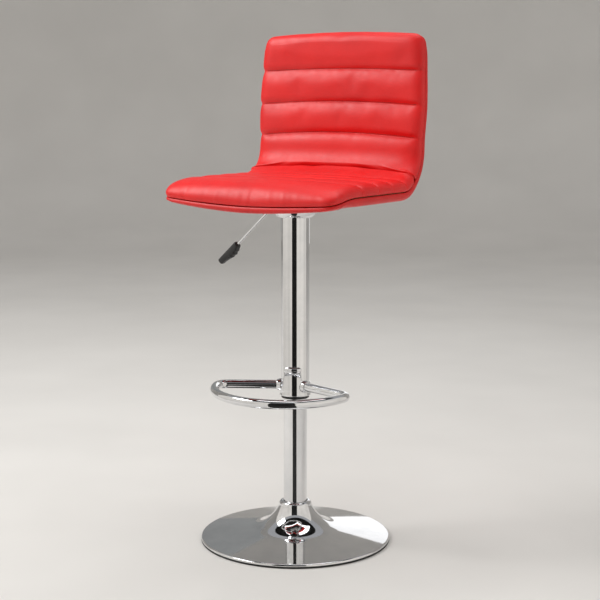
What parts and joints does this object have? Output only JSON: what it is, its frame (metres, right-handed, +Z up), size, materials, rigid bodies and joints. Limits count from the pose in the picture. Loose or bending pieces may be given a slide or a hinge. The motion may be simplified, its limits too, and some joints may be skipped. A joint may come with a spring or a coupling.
{
  "type": "adjustable swivel bar stool",
  "caption": "Height-adjustable swivel bar stool: padded seat with a low channelled back, gas-lift column, footrest loop, release lever and trumpet base.",
  "frame": {"origin": "on the floor, at the axis of the column", "axes": "+Z up along the column; -Y the way the seat faces; +X to the sitter's left"},
  "size_m": [0.436, 0.41, 1.0835],
  "materials": {
    "chrome": "polished chrome plate",
    "rubber": "matte moulded rubber",
    "cast_iron": "rough, painted black",
    "steel": "plain turned steel",
    "black_steel": "satin black enamel",
    "bearing_steel": "ground",
    "zinc": "bright zinc plate",
    "brass": "turned",
    "acetal": "natural moulded acetal",
    "black_plastic": "fine textured moulding",
    "plywood": "raw birch plywood",
    "seat_vinyl": "soft red coated fabric with a light grain",
    "dust_cloth": "black spun-bonded cloth"
  },
  "bodies": {
    "base": {"floor_ring": "rubber", "base_plate": "chrome", "ballast_plate": "cast_iron", "base_hub": "steel", "hub_screws": "zinc", "standing_tube": "chrome", "foot_plug": "steel", "lower_race": "bearing_steel", "guide_bush": "acetal"},
    "bearing": {"ball_cage": "brass", "bearing_balls": "bearing_steel"},
    "rod": {"piston_rod": "bearing_steel", "upper_race": "bearing_steel", "rubber_bumper": "rubber", "piston": "brass", "piston_seal": "rubber", "piston_nut": "zinc", "clip_washer": "zinc", "retaining_clip": "steel"},
    "seat": {"gas_cylinder": "black_steel", "rod_guide": "acetal", "rod_seal": "rubber", "valve_body": "brass", "taper_socket": "steel", "seat_bracket_housing": "zinc", "seat_plate": "zinc", "lever_bracket": "zinc", "lever_pin": "steel", "column_bell": "chrome", "plate_screws": "zinc", "tee_nuts": "zinc", "seat_shell": "plywood", "seat_pad": "seat_vinyl", "back_pad": "seat_vinyl", "outer_cover": "seat_vinyl", "dust_cover": "dust_cloth"},
    "shroud": {"shroud_tube": "chrome", "shroud_top_ring": "acetal", "slide_ring": "black_plastic", "footrest_collar": "chrome", "footrest_ring": "chrome", "collar_screws": "zinc"},
    "lever": {"lever_rod": "chrome", "lever_handle": "black_plastic"},
    "valve": {"valve_pin": "zinc"}
  },
  "joints": [
    {"name": "swivel", "type": "hinge", "parent": "base", "child": "rod", "pos_m": [0, 0, 0.05], "axis": [0, 0, 1], "continuous": true},
    {"name": "bearing_roll", "type": "hinge", "parent": "base", "child": "bearing", "pos_m": [0, 0, 0.03], "axis": [0, 0, 1], "continuous": true},
    {"name": "lift", "type": "slide", "parent": "rod", "child": "seat", "axis": [0, 0, 1], "range_m": [-0.205, 0]},
    {"name": "footrest_turn", "type": "hinge", "parent": "seat", "child": "shroud", "pos_m": [0, 0, 0.5], "axis": [0, 0, 1], "continuous": true},
    {"name": "lever_lift", "type": "hinge", "parent": "seat", "child": "lever", "pos_m": [-0.036, 0, 0.7348], "axis": [0, 1, 0], "range_deg": [0, 6.5], "stiffness_Nm_per_rad": 4, "springref_deg": -2.86},
    {"name": "valve_press", "type": "slide", "parent": "seat", "child": "valve", "axis": [0, 0, 1], "range_m": [-0.0041, 0]}
  ],
  "couplings": [
    {"joint": "bearing_roll", "follows": "swivel", "ratio": 0.5},
    {"joint": "valve_press", "follows": "lever_lift", "m_per_rad": -0.036}
  ]
}
